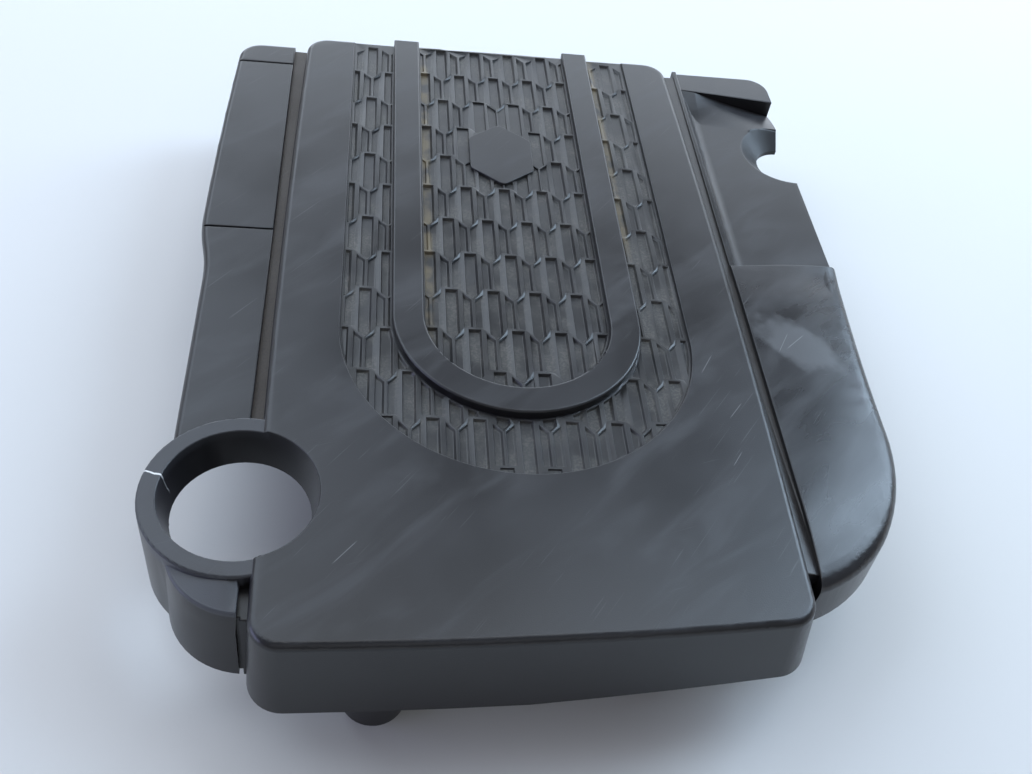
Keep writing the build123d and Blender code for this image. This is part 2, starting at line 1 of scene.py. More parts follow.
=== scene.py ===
# %% [markdown]
# # A car engine cover
# The real thing is one shell of dark moulded plastic that is pushed onto four ball studs of an engine.
# This lesson dresses the solid model: it softens the edges of the moulding, finishes the plastic and the rubber, and
# sets up the camera where the photographer stood.
# The solid model is loaded first, because every later step is measured from it.

# %% Load the solid model
import json
import math
import bpy
import bmesh
from mathutils import Matrix, Vector
from mathutils.kdtree import KDTree

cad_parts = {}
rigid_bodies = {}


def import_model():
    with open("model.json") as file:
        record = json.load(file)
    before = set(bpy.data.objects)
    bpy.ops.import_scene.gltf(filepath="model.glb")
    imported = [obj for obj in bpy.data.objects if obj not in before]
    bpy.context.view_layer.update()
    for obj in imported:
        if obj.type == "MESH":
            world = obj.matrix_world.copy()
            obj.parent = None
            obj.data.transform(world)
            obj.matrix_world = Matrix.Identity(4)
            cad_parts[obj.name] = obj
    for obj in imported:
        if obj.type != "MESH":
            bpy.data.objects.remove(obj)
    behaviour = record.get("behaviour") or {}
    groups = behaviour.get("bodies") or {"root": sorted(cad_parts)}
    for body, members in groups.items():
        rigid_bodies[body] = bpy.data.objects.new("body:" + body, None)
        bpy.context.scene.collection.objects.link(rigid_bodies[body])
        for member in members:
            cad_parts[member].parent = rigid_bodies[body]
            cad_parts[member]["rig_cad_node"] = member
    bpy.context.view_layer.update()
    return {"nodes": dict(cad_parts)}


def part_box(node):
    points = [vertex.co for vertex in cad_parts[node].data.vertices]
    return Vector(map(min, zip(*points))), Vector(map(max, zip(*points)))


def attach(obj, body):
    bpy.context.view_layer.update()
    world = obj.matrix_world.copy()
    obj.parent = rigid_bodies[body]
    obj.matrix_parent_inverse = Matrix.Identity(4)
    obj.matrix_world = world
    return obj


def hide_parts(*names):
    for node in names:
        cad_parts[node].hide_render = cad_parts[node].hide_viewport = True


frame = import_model()
cad_nodes = frame["nodes"]
print("nodes:", sorted(cad_nodes))

# %% [markdown]
# ## A point to measure from
# The frame's origin is the middle of the whole box, which says little about the shape. The axis of the U-shaped band
# runs through the middle of the four feet instead, so the middle of the grommets is the handiest point to measure from.
# Every place in this lesson is given in millimetres from there.

# %% The middle of the feet
MM = 0.001

grommet_names = [f"stud_grommet_{number}" for number in range(1, 5)]
corners = [corner for name in grommet_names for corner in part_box(name)]
middle = sum((Vector(corner) for corner in corners), Vector()) / len(corners)
middle.z = 0.0
print("middle of the feet in mm:", [round(v / MM, 2) for v in middle])


def spot(x, y, z):
    return middle + Vector((x, y, z)) * MM


def from_middle(place):
    return (place - middle) / MM


# %% [markdown]
# ## A copy of the shell to work on
# The loaded mesh is loose triangles and stays untouched. A copy is joined up at its seams, so that its faces know their
# neighbours and edit mode can work on it.

# %% Copy the shell
SEAM_GAP = 2e-6


def select_only(*pieces):
    bpy.ops.object.select_all(action="DESELECT")
    for piece in pieces:
        piece.select_set(True)
    bpy.context.view_layer.objects.active = pieces[0]


def working_copy(node, name):
    select_only(cad_nodes[node])
    bpy.ops.object.duplicate()
    piece = bpy.context.view_layer.objects.active
    piece.name = name
    piece.data.name = name
    del piece["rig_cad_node"]
    piece.data.materials.clear()
    bpy.ops.object.mode_set(mode="EDIT")
    bpy.ops.mesh.select_all(action="SELECT")
    bpy.ops.mesh.customdata_custom_splitnormals_clear()
    bpy.ops.mesh.remove_doubles(threshold=SEAM_GAP)
    bpy.ops.mesh.select_all(action="DESELECT")
    bpy.ops.object.mode_set(mode="OBJECT")
    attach(piece, "root")
    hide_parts(node)
    return piece


bpy.context.tool_settings.mesh_select_mode = (False, False, True)
shell = working_copy("engine_cover", "shell")
print("shell:", len(shell.data.vertices), "corners,", len(shell.data.polygons), "faces")

# %% [markdown]
# ## Selecting by place
# In edit mode a person clicks on faces and edges. Here a rule picks them: a small function looks at one face and says
# yes or no. Face mode is used for the pockets, because in vertex mode a rib between two picked pockets would be picked
# too. Where neighbours matter, the mesh is opened as a net of faces, edges and corners and closed again afterwards.

# %% Pick faces by a rule
def pick_faces(piece, rule):
    for face in piece.data.polygons:
        face.select = bool(rule(face))


def edit(piece):
    select_only(piece)
    bpy.ops.object.mode_set(mode="EDIT")


def leave():
    bpy.ops.object.mode_set(mode="OBJECT")


def open_net(piece):
    net = bmesh.new()
    net.from_mesh(piece.data)
    return net


def close_net(net, piece):
    net.to_mesh(piece.data)
    net.free()


print("tools for picking ready")

# %% [markdown]
# ## Sloping walls for the honeycomb
# A pocket that is pulled out of a steel mould has sloping sides and soft rims, and those slopes are what catches the
# light in the photograph. The solid has straight walls, which is enough for its size. One way would be to bevel every
# rim, but the ribs between the pockets are narrow and a bevel tears them. Closing the pockets and sinking them again
# is safer: the floors are lifted to the rims and merged with them, and then inset and lowered in four small steps.
# The pockets outside the band are softer on the real cover, so they sink less. Slim ones get small steps, and the
# narrowest, which would turn inside out, keep their straight walls. So do those that run under the blank pad.

# %% Find the pocket floors
POCKET_DEPTH = 1.3
CENTRE_FLOOR = 86.7
PANEL_FLOOR = 84.7
NARROW, WIDE = 1.1, 2.4
STRAIGHT, CENTRE, OUTER, SLIM = range(4)
BLANK_Y = 126.0
BLANK_REACH = 34.0
LEVEL = 0.99
NEAR_HEIGHT = 0.02


def is_pocket_floor(face):
    height = face.center.z / MM
    off = min(abs(height - CENTRE_FLOOR), abs(height - PANEL_FLOOR))
    return face.normal.z > LEVEL and off < NEAR_HEIGHT


def islands(piece, rule):
    net = open_net(piece)
    net.faces.ensure_lookup_table()
    left = {face.index for face in piece.data.polygons if rule(face)}
    groups = []
    while left:
        group = set()
        waiting = [left.pop()]
        while waiting:
            face = net.faces[waiting.pop()]
            group.add(face.index)
            for near in {other.index for side in face.edges for other in side.link_faces} & left:
                left.discard(near)
                waiting.append(near)
        area = sum(net.faces[i].calc_area() for i in group)
        rim = sum(side.calc_length() for i in group for side in net.faces[i].edges
                  if sum(other.index in group for other in side.link_faces) == 1)
        groups.append((group, 2 * area / rim / MM))
    net.free()
    return groups


def beside_pad(group):
    pad = spot(0, BLANK_Y, CENTRE_FLOOR)
    return any((shell.data.polygons[i].center - pad).length < BLANK_REACH * MM for i in group)


def pocket_kind(group, width):
    if width < NARROW or beside_pad(group):
        return STRAIGHT
    if width < WIDE:
        return SLIM
    height = shell.data.polygons[min(group)].center.z / MM
    return CENTRE if abs(height - CENTRE_FLOOR) < NEAR_HEIGHT else OUTER


floors = [(group, pocket_kind(group, width)) for group, width in islands(shell, is_pocket_floor)]
kind_of_face = {i: kind for group, kind in floors for i in group}
tally = [kind for group, kind in floors]
print("pockets:", len(floors), "centre, outer, slim:", [tally.count(kind) for kind in (CENTRE, OUTER, SLIM)])

# %% Close the pockets and sink them again
WALL_STEPS = ((0.2, 0.14, 0.05), (0.32, 0.62, 0.15), (0.32, 0.7, 0.2), (0.3, 0.39, 0.2))
SINK = sum(down for inward, down, lean in WALL_STEPS)
OUTER_SHARE = 0.85
SHARES = {CENTRE: (1.0, 1.0), OUTER: (1.0, OUTER_SHARE), SLIM: (0.42, 0.5)}
RIM_GAP = 5e-6

for face in shell.data.polygons:
    face.material_index = kind_of_face.get(face.index, STRAIGHT)
pick_faces(shell, lambda face: face.material_index != STRAIGHT)
edit(shell)
bpy.ops.transform.translate(value=(0, 0, POCKET_DEPTH * MM))
bpy.ops.mesh.select_all(action="SELECT")
bpy.ops.mesh.remove_doubles(threshold=RIM_GAP)
leave()
for kind, (in_share, down_share) in SHARES.items():
    pick_faces(shell, lambda face: face.material_index == kind)
    edit(shell)
    for inward, down, lean in WALL_STEPS:
        bpy.ops.mesh.inset(thickness=inward * in_share * MM, depth=-down * down_share * MM, use_even_offset=True)
        bpy.ops.transform.translate(value=(-lean * in_share * MM, 0, 0))
    leave()
    print("pockets of kind", kind, "sunk by", round(SINK * down_share, 2), "mm")

# %% [markdown]
# ## The slanted rib of each slot
# In the photograph the left rib of every slot is a broad bright slope that falls away to the left, with its crest at
# the slot. The solid has a flat rib there. The corners between the crest and the pocket floor are lowered onto one
# slope, a rule on their place in the cell, because picking some three hundred ribs by hand would be no lesson at all.

# %% Slant the ribs
CELL_PITCH = 24.7
CELL_ROW = 32.25
CELL_FIRST_Y = 121.8
HALF_SLOT = 3.8
SLOPE_W = 3.7
CENTRE_TOP = CENTRE_FLOOR + POCKET_DEPTH
PANEL_TOP = PANEL_FLOOR + POCKET_DEPTH
BAND_Y = -31.5
BAND_IN, BAND_OUT = 53.4, 71.4
BAND_FOOT_IN, BAND_FOOT_OUT = BAND_IN - 1.0, BAND_OUT + 0.5
PANEL_REACH = 101.0


def slope_share(x, y):
    row = math.floor((CELL_FIRST_Y - y) / CELL_ROW)
    first = CELL_PITCH / 2 * (1 - row % 2)
    from_slot = (x - first + HALF_SLOT) % CELL_PITCH - CELL_PITCH
    along = -from_slot / SLOPE_W
    return along if along < 1 else 0.0


lowered = 0
for corner in shell.data.vertices:
    x, y, z = from_middle(corner.co)
    off_axis = abs(x) if y > BAND_Y else math.hypot(x, y - BAND_Y)
    inside = off_axis < BAND_IN
    top, sink = (CENTRE_TOP, SINK) if inside else (PANEL_TOP, SINK * OUTER_SHARE)
    on_blank = inside and math.hypot(x, y - BLANK_Y) < BLANK_REACH
    on_band = BAND_FOOT_IN < off_axis < BAND_FOOT_OUT
    in_pocket = top - sink - 0.1 < z < top + 0.01
    if in_pocket and not on_blank and not on_band and off_axis < PANEL_REACH:
        target = top - sink * slope_share(x, y)
        if target < z - 0.01:
            corner.co.z = target * MM
            lowered += 1
print("corners on the slopes:", lowered)

# %% [markdown]
# ## Soft edges
# A mould never gives a knife edge. The big roundings are in the solid already. What is left are the edges along the
# grooves, the wing, the lobe and the sunk panel, which get a small bevel. Only edges that stick out and border an
# upward face are picked: the inside corners and the underside stay as they are.

# %% Bevel the outer edges
SHARP = math.radians(34)
UPWARD = 0.9
EDGE_LOW, EDGE_HIGH = 0.07, 0.09
BEVEL, BEVEL_STEPS = 0.7, 3


def is_outer_edge(edge):
    if not edge.is_manifold or edge.calc_face_angle_signed() <= SHARP:
        return False
    upward = max(face.normal.z for face in edge.link_faces) > UPWARD
    pocket = any(face.material_index != STRAIGHT for face in edge.link_faces)
    return upward and not pocket and all(EDGE_LOW < corner.co.z < EDGE_HIGH for corner in edge.verts)


def pick_edges(piece, rule):
    net = open_net(piece)
    for face in net.faces:
        face.select = False
    for edge in net.edges:
        edge.select = rule(edge)
    for corner in net.verts:
        corner.select = any(edge.select for edge in corner.link_edges)
    picked = sum(edge.select for edge in net.edges)
    close_net(net, piece)
    return picked


bpy.context.tool_settings.mesh_select_mode = (False, True, False)
softened = pick_edges(shell, is_outer_edge)
edit(shell)
bpy.ops.mesh.bevel(offset=BEVEL * MM, offset_type="OFFSET", segments=BEVEL_STEPS, clamp_overlap=False, loop_slide=True)
leave()
for face in shell.data.polygons:
    face.material_index = 0
print("edges softened:", softened, "faces now:", len(shell.data.polygons))

# %% [markdown]
# ## The crowned lobe
# The top of the lobe at the right is not flat: it falls away softly over the last three centimetres before its outer
# edge, and behind a faint crease its back end tips down. A flat face has no corners to move, so the top is first cut
# into a net of strips. Each corner is then lowered by how near it lies to the outer edge.

# %% Crown the lobe
LOBE_WALL = 141.0
LOBE_BACK, LOBE_BACK_SKEW = 31.2, 0.1
LOBE_TOP, LOBE_ROUND = 85.0, 10.0
LOBE_CREASE = 2.0
RIM_LOW, RIM_HIGH, RIM_BACK, RIM_INNER = 76.0, 84.3, 27.0, 5.0
CROWN, CROWN_W, CROWN_START = 3.2, 38.0, 3.0
TIP, TIP_W = 0.9, 34.0
LOBE_CUTS_X, LOBE_CUTS_Y = range(147, 215, 6), range(-196, 36, 6)


def cut_net(net, faces, across_x, across_y):
    part = set(faces) | {e for f in faces for e in f.edges} | {c for f in faces for c in f.verts}
    cuts = [(step, (1, 0, 0)) for step in across_x] + [(step, (0, 1, 0)) for step in across_y]
    for step, along in cuts:
        cut = bmesh.ops.bisect_plane(net, geom=list(part), plane_co=spot(step, step, 0), plane_no=along, dist=1e-6)
        part = set(cut["geom"])
    return [item for item in part if isinstance(item, bmesh.types.BMVert)]


def ease(value):
    return min(max(value, 0.0), 1.0)


def on_lobe(place):
    x, y, z = from_middle(place)
    before_back = y < LOBE_BACK + LOBE_BACK_SKEW * (x - LOBE_WALL)
    return x > LOBE_WALL - 0.2 and before_back and z > LOBE_TOP - LOBE_ROUND - 0.1


def on_outer_rim(place):
    x, y, z = from_middle(place)
    return RIM_LOW < z < RIM_HIGH and x > LOBE_WALL + RIM_INNER and y < RIM_BACK


net = open_net(shell)
lobe = [f for f in net.faces if f.normal.z > 0.02 and on_lobe(f.calc_center_median())]
rim = [corner.co.copy() for f in lobe for corner in f.verts if on_outer_rim(corner.co)]
outer_rim = KDTree(len(rim))
for number, place in enumerate(rim):
    outer_rim.insert(place, number)
outer_rim.balance()
lobe_corners = cut_net(net, lobe, LOBE_CUTS_X, LOBE_CUTS_Y)
for corner in lobe_corners:
    x, y, z = from_middle(corner.co)
    near = ease(1 - (outer_rim.find(corner.co)[2] / MM - CROWN_START) / CROWN_W)
    fall = CROWN * near * near + TIP * ease((y - LOBE_CREASE) / TIP_W)
    corner.co.z -= fall * ease((z - LOBE_TOP + LOBE_ROUND) / LOBE_ROUND) * MM
close_net(net, shell)
print("corners on the lobe:", len(lobe_corners))

# %% [markdown]
# ## The sweep behind the scoop
# Behind the pipe scoop the saddle sweeps up to the strip at its inner end and dives below it at its outer end. The
# solid has a plain wedge there, with a small step in front. Cut into a net in the same way, the wedge is laid onto a
# curve that starts level with the saddle. The side of the old wedge is left standing along the curve as one loose
# face, known by an edge with no neighbour, so it is taken out.

# %% Smooth the sweep
FAN_LEFT, FAN_RIGHT, FAN_INNER = 156.0, 215.0, 144.2
FAN_FRONT, FAN_BACK, FAN_SKEW = 199.5, 233.5, 8.0
FAN_HIGH, FAN_LOW, FAN_CURVE = 81.0, 66.0, 1.6
FAN_CUTS_X, FAN_CUTS_Y = range(146, 214, 3), range(194, 233, 3)
SADDLE_TOP, SADDLE_UNDER = 74.0, 60.0
STRIP_LOW = 80.0
SCOOP_PLACE, SCOOP_LOW_R, SCOOP_FLOOR = (215.0, 169.0), 19.0, 63.0
SCOOP_RUN, SCOOP_RISE = 24.0, 18.0


def sweep_place(x, y):
    over = ease((x - FAN_LEFT) / (FAN_RIGHT - FAN_LEFT))
    front = FAN_FRONT - FAN_SKEW * over
    along = (y - front) / (FAN_BACK - front)
    end = FAN_HIGH + (FAN_LOW - FAN_HIGH) * over
    return along, SADDLE_TOP + (end - SADDLE_TOP) * ease(along) ** FAN_CURVE


def on_sweep(face):
    x, y, z = from_middle(face.calc_center_median())
    bowl = SCOOP_LOW_R + (z - SCOOP_FLOOR) * SCOOP_RUN / SCOOP_RISE
    in_scoop = abs(math.dist((x, y), SCOOP_PLACE) - bowl) < 0.8
    before_strip = y < FAN_BACK - FAN_SKEW * (x - LOBE_WALL) / (FAN_RIGHT - LOBE_WALL) - 0.2
    on_strip = z > STRIP_LOW and x > FAN_LEFT
    upward = z > SADDLE_UNDER and face.normal.z > 0.2
    behind = x > FAN_INNER and sweep_place(x, y)[0] > 0
    return behind and before_strip and upward and not in_scoop and not on_strip


def on_seam(corner):
    return abs(corner.co.x - spot(FAN_LEFT, 0, 0).x) < 2e-5 and corner.co.z > (SADDLE_TOP - 1) * MM


net = open_net(shell)
sweep_corners = cut_net(net, [f for f in net.faces if on_sweep(f)], FAN_CUTS_X, FAN_CUTS_Y)
for corner in sweep_corners:
    x, y, z = from_middle(corner.co)
    target = sweep_place(x, y)[1]
    corner.co.z = (target if x > FAN_LEFT - 0.01 else max(target, z)) * MM
bmesh.ops.remove_doubles(net, verts=net.verts, dist=SEAM_GAP)
seam = [edge for edge in net.edges if all(on_seam(corner) for corner in edge.verts)]
bmesh.ops.dissolve_degenerate(net, dist=1e-5, edges=seam)
loose = {face for edge in net.edges if len(edge.link_faces) == 1 for face in edge.link_faces}
bmesh.ops.delete(net, geom=list(loose), context="FACES")
close_net(net, shell)
print("corners on the sweep:", len(sweep_corners), "loose faces taken out:", len(loose))

# %% [markdown]
# ## The ledge
# The top of the ledge in front of the ring slopes: it starts just below the ring and falls to its front edge. Lifting
# the corners along the ring is enough, because the faces between them follow. The slit beside it is opened up a little
# in the same way.

# %% Tilt the ledge and open the slit
RING_PLACE, RING_R = (-143.5, -155.5), 47.5
LEDGE_PLACE, LEDGE_R, LEDGE_TOP = (-137.0, -181.0), 38.0, 81.5
LEDGE_BACK, LEDGE_RIGHT = -180.0, -130.0
LEDGE_LIFT, LEDGE_SLOPE = 3.0, 0.22
NOTCH_X, SLIT_W, SLIT_DEPTH = -139.0, 1.2, 1.6
SLIT_FRONT, SLIT_TOP = -212.0, 76.9
SLIT_OPEN, SLIT_DEEPER = 0.9, 1.3
DRAFT = math.tan(math.radians(3))
TOUCH = 0.05

lifted = deepened = 0
for corner in shell.data.vertices:
    x, y, z = from_middle(corner.co)
    on_ledge = y < LEDGE_BACK and x < LEDGE_RIGHT and abs(z - LEDGE_TOP) < TOUCH
    if on_ledge and math.dist((x, y), RING_PLACE) < RING_R + 0.4:
        depth = LEDGE_R - math.dist((x, y), LEDGE_PLACE)
        corner.co.z += min(LEDGE_LIFT, LEDGE_SLOPE * max(depth, 0)) * MM
        lifted += 1
    slit_floor = LEDGE_PLACE[1] - LEDGE_R + SLIT_DEPTH + (z - LEDGE_TOP) * DRAFT
    if -TOUCH < x - NOTCH_X < SLIT_W + TOUCH and abs(y - slit_floor) < 0.06 and z < SLIT_TOP + 1.1:
        corner.co.y += SLIT_DEEPER * MM
        deepened += 1
    if abs(x - NOTCH_X) < TOUCH and y < SLIT_FRONT and z < SLIT_TOP:
        corner.co.x -= SLIT_OPEN * MM
print("corners lifted:", lifted, "slit corners:", deepened)

# %% [markdown]
# ## Smooth shading
# The cuts have left faces with many corners along one straight side, so those are split into well-shaped triangles
# first. The curved skirts and fillets are many small flat faces. Smooth shading by angle blends them and keeps true
# edges. Weighted normals then let the large flats win at each corner, so that no shading bleeds across them.

# %% Shade the shell
net = open_net(shell)
many_sided = [face for face in net.faces if len(face.verts) > 4]
bmesh.ops.triangulate(net, faces=many_sided, quad_method="BEAUTY", ngon_method="BEAUTY")
close_net(net, shell)
select_only(shell)
bpy.ops.object.shade_smooth_by_angle(angle=math.radians(40))
weighted = shell.modifiers.new("flat normals", "WEIGHTED_NORMAL")
weighted.keep_sharp = True
weighted.weight = 100
bpy.ops.object.modifier_apply(modifier=weighted.name)
print("shell:", sum(len(face.vertices) - 2 for face in shell.data.polygons), "triangles")

# %% [markdown]
# ## Writing finishes as sums
# A finish is a tree of shader nodes. Wiring it by hand is slow to read, so one small class stands for an output socket:
# adding or multiplying two of them adds a Math node. Everything else goes through one method, which takes the kind of
# node, its settings and its inputs.

# %% Sockets that do sums
class Wire:
    def __init__(self, tree, socket):
        self.tree = tree
        self.socket = socket

    def node(self, kind, settings=None, inputs=None, output=0):
        made = self.tree.nodes.new(kind)
        for key, value in (settings or {}).items():
            setattr(made, key, value)
        for key, value in (inputs or {}).items():
            if isinstance(value, Wire):
                self.tree.links.new(value.socket, made.inputs[key])
            else:
                made.inputs[key].default_value = value
        return Wire(self.tree, made.outputs[output])

    def maths(self, operation, other=0.0, swapped=False):
        pair = {0: other, 1: self} if swapped else {0: self, 1: other}
        return self.node("ShaderNodeMath", {"operation": operation}, pair)

    def __add__(self, other):
        return self.maths("ADD", other)

    __radd__ = __add__

    def __sub__(self, other):
        return self.maths("SUBTRACT", other)

    def __rsub__(self, other):
        return self.maths("SUBTRACT", other, True)

    def __mul__(self, other):
        return self.maths("MULTIPLY", other)

    __rmul__ = __mul__

    def __truediv__(self, other):
        return self.maths("DIVIDE", other)

    def __rtruediv__(self, other):
        return self.maths("DIVIDE", other, True)

    def __abs__(self):
        return self.maths("ABSOLUTE")

    def ramp(self, low, high, to_low=0.0, to_high=1.0):
        limits = {0: self, 1: low, 2: high, 3: to_low, 4: to_high}
        return self.node("ShaderNodeMapRange", {"interpolation_type": "SMOOTHSTEP"}, limits)

    def fade(self, low, high):
        return self.ramp(low, high, 1.0, 0.0)

    def within(self, low, high, soft):
        return self.ramp(low - soft, low + soft) * self.fade(high - soft, high + soft)

    def part(self, axis):
        return self.node("ShaderNodeSeparateXYZ", None, {0: self}, axis)

    def vector(self, operation, other):
        return self.node("ShaderNodeVectorMath", {"operation": operation}, {0: self, 1: other})

    def between(self, first, second):
        settings = {"data_type": "RGBA", "blend_type": "MIX"}
        return self.node("ShaderNodeMix", settings, {0: self, 6: first, 7: second}, 2)


def root(wire):
    return wire.maths("SQRT")


def least(wire, other):
    return wire.maths("MINIMUM", other)


def length(first, second):
    return root(first * first + second * second)


def new_finish(name):
    finish = bpy.data.materials.new(name)
    finish.use_nodes = True
    tree = finish.node_tree
    place = Wire(tree, tree.nodes.new("ShaderNodeTexCoord").outputs["Object"])
    return finish, tree.nodes["Principled BSDF"], place


def feed(shader, socket, wire):
    wire.tree.links.new(wire.socket, shader.inputs[socket])


print("finish tools ready")

# %% [markdown]
# ## Where things are on the shell
# Object coordinates are in metres, so they are turned into millimetres once. From them come the masks that the finish
# needs. The band and the honeycomb round it are two straight legs and half a circle, so one distance from that line,
# `from_band_axis`, says which of them a point lies on. The height tells a rib from a pocket floor.

# %% Places and masks
PANEL_Y, PANEL_EDGE = -41.0, 99.4
HONEYCOMB_LOW = 82.5

plastic, plastic_shader, place = new_finish("moulded plastic")
mm = place.vector("SUBTRACT", middle).vector("MULTIPLY", (1000.0, 1000.0, 1000.0))
x, y, z = mm.part(0), mm.part(1), mm.part(2)
upright = mm.node("ShaderNodeNewGeometry", None, None, 1).part(2)


def noise(scale, detail=2.0, rough=0.5, distort=0.0, where=None):
    inputs = {"Vector": where or mm, "Scale": scale, "Detail": detail, "Roughness": rough, "Distortion": distort}
    return mm.node("ShaderNodeTexNoise", {"noise_dimensions": "3D"}, inputs)


def stretched(degrees, long, wide):
    inputs = {"Vector": mm, "Rotation": (0, 0, math.radians(degrees)), "Scale": (long, wide, wide)}
    return mm.node("ShaderNodeMapping", {"vector_type": "TEXTURE"}, inputs)


from_band_axis = length(x, least(y - BAND_Y, 0.0))
from_panel_axis = length(x, least(y - PANEL_Y, 0.0))
raised = z.ramp(HONEYCOMB_LOW, HONEYCOMB_LOW + 1.5)
centre = from_band_axis.fade(BAND_IN - 1.0, BAND_IN - 0.4) * raised * z.fade(CENTRE_TOP + 0.2, CENTRE_TOP + 0.6)
in_panel = from_panel_axis.fade(PANEL_EDGE, PANEL_EDGE + 0.5)
panel = from_band_axis.ramp(BAND_OUT + 0.4, BAND_OUT + 1.0) * in_panel * raised
sunk = centre * z.fade(CENTRE_TOP - 1.1, CENTRE_TOP - 0.2) + panel * z.fade(PANEL_TOP - 1.1, PANEL_TOP - 0.2)
honeycomb = centre + panel
flat = upright.ramp(0.75, 0.95)
print("masks ready")

# %% [markdown]
# ## Scratches
# The cover has been on an engine for years. Cloths have left wipe marks on the flats, and there are scratches and a
# white stress crack on the filler ring. Each long mark is a straight stroke between two points. The fine hairlines and
# the wipe marks are noise pulled out into threads, which costs nothing to repeat over the whole cover.

# %% Strokes and threads
SCRATCHES = (
    ((161.0, -41.0), (172.5, -30.5), 0.5),
    ((155.0, -44.0), (163.0, -30.0), 0.35),
    ((103.0, -66.0), (110.5, -53.5), 0.45),
    ((113.0, -99.0), (120.5, -89.5), 0.45),
    ((108.0, -132.0), (113.5, -124.0), 0.4),
    ((-97.0, -195.0), (-87.5, -184.0), 0.45),
    ((146.0, -188.0), (154.0, -178.0), 0.4),
)
CRACK_OUTER = ((-192.2, -142.6), (-186.0, -144.5), 0.75, 1.2)
CRACK_TOP = ((-186.6, -144.3), (-180.2, -146.1), 0.9, 1.2)
CRACK_TUBE = ((-180.4, -146.0), (-173.6, -148.2), 0.5, 1.0)

wobble = noise(0.35) - 0.5


def stroke(start, end, width, shake=0.0):
    span = math.dist(start, end)
    ux, uy = (end[0] - start[0]) / span, (end[1] - start[1]) / span
    along = (x - start[0]) * ux + (y - start[1]) * uy
    side = abs((y - start[1]) * ux - (x - start[0]) * uy + wobble * shake)
    return side.fade(width * 0.25, width * 0.7) * along.within(0.0, span, min(2.0, span / 4))


marks = sum(stroke(*scratch) for scratch in SCRATCHES) * raised * 0.3
crack = least(stroke(*CRACK_OUTER) + stroke(*CRACK_TOP), 1.0) * z.ramp(82.0, 86.0)
crack = crack + stroke(*CRACK_TUBE) * z.within(74.0, 85.0, 2.0) * 0.35
threads = noise(1.0, 1.0, 0.4, 0.3, stretched(52, 45.0, 0.9)).ramp(0.69, 0.76) * noise(0.03).ramp(0.48, 0.62)
crossing = noise(1.0, 1.0, 0.4, 0.3, stretched(18, 40.0, 0.8)).ramp(0.71, 0.77) * noise(0.024).ramp(0.5, 0.66)
hairs = least(threads * 0.8 + crossing * 0.5, 1.0)
wipes = noise(1.0, 3.0, 0.6, 0.6, stretched(40, 85.0, 22.0))
print("strokes:", len(SCRATCHES) + 3)

# %% [markdown]
# ## Dust, dirt, painted shade and painted sheen
# Dust lies in the honeycomb, brown dirt in the grooves and beside the band, and a pale scuffed patch on the lobe. The
# ring and the ledge get a paler bluish painted sheen, painted light that stands in for the glow of the windows on them,
# while the scoop and the slit get painted shade. Each of them is a box or a ring of places, broken up by a slow noise
# so that no border is a clean line.

# %% Dirt masks and painted light masks
SCUFF_PLACE, SCUFF_TURN = (167.5, -37.5), (0.75, 0.66)
SCUFF_LONG, SCUFF_WIDE = 31.0, 18.0
SCOOP_RIM = 41.0

patch = noise(0.045, 3.0, 0.6)
fine = noise(0.7, 2.0, 0.6)
scuff_x, scuff_y = x - SCUFF_PLACE[0], y - SCUFF_PLACE[1]
scuff_along = (scuff_x * SCUFF_TURN[0] - scuff_y * SCUFF_TURN[1]) / SCUFF_LONG
scuff_over = (scuff_x * SCUFF_TURN[1] + scuff_y * SCUFF_TURN[0]) / SCUFF_WIDE
scuff = (length(scuff_along, scuff_over) + (patch - 0.5) * 1.4).fade(0.55, 1.05)
scuff = scuff * x.ramp(LOBE_WALL, LOBE_WALL + 2.0) * flat
left_groove = x.within(-143.2, -134.0, 0.4) * z.within(75.0, 78.2, 0.6) * y.ramp(-118.0, -112.0)
right_groove = x.within(132.5, 141.3, 0.4) * z.within(80.5, 82.6, 0.4)
groove = least(left_groove + right_groove * 0.3, 1.0)
left_edge = x.within(-53.0, -47.5, 1.5) * y.ramp(-60.0, -20.0) * centre
right_edge = x.within(71.5, 77.0, 1.5) * y.ramp(20.0, 60.0) * panel
brown = least(left_edge + right_edge, 1.0) * patch.ramp(0.38, 0.6) * 0.7
from_ring = length(x - RING_PLACE[0], y - RING_PLACE[1])
ring_rim = from_ring.within(38.0, 48.5, 1.2) * z.ramp(80.0, 84.0) * z.fade(86.7, 87.0) * x.fade(-133.0, -131.0)
ledge = z.within(79.5, 85.2, 0.6) * y.fade(-186.0, -182.0) * x.fade(-138.0, -136.5)
# painted highlight: a paler bluish sheen on the ring rim and the ledge, where the windows light them
ring_ledge_sheen = least(ring_rim * 0.45 + ledge * from_ring.ramp(46.5, 47.5), 1.0)
from_scoop = length(x - SCOOP_PLACE[0], y - SCOOP_PLACE[1])
# painted shade: the scoop is coloured darker, for the dark reflection in its bowl
scoop = from_scoop.fade(SCOOP_RIM, SCOOP_RIM + 2.5) * upright.fade(0.85, 0.97)
# painted shade: the narrow slit is coloured nearly black, where only shade falls
slit = x.within(-139.9, -137.8, 0.1) * z.fade(76.9, 77.3) * y.fade(-212.5, -212.0)
print("dust and dirt ready")

# %% [markdown]
# ## The plastic
# The cover is black plastic with a fine spark-eroded grain, gone a little grey in slow clouds. One colour would look
# like a toy, so layers are laid over it one after the other, each with its own share and colour: wear, dust and dirt,
# and painted light too. There is painted shade on the upright walls, in the slit and in the scoop, and a paler painted
# sheen on the ring and the ledge. The same masks make the dusty places dull and leave the lobe a little glossier. The
# grain is too fine to model, so it is bump.

# %% Colour, gloss and grain
BLACK, GREYED = (0.011, 0.011, 0.013, 1), (0.017, 0.017, 0.02, 1)
GRAIN_STRENGTH, GRAIN_DEPTH = 0.14, 0.0003
DULLEST = 0.85

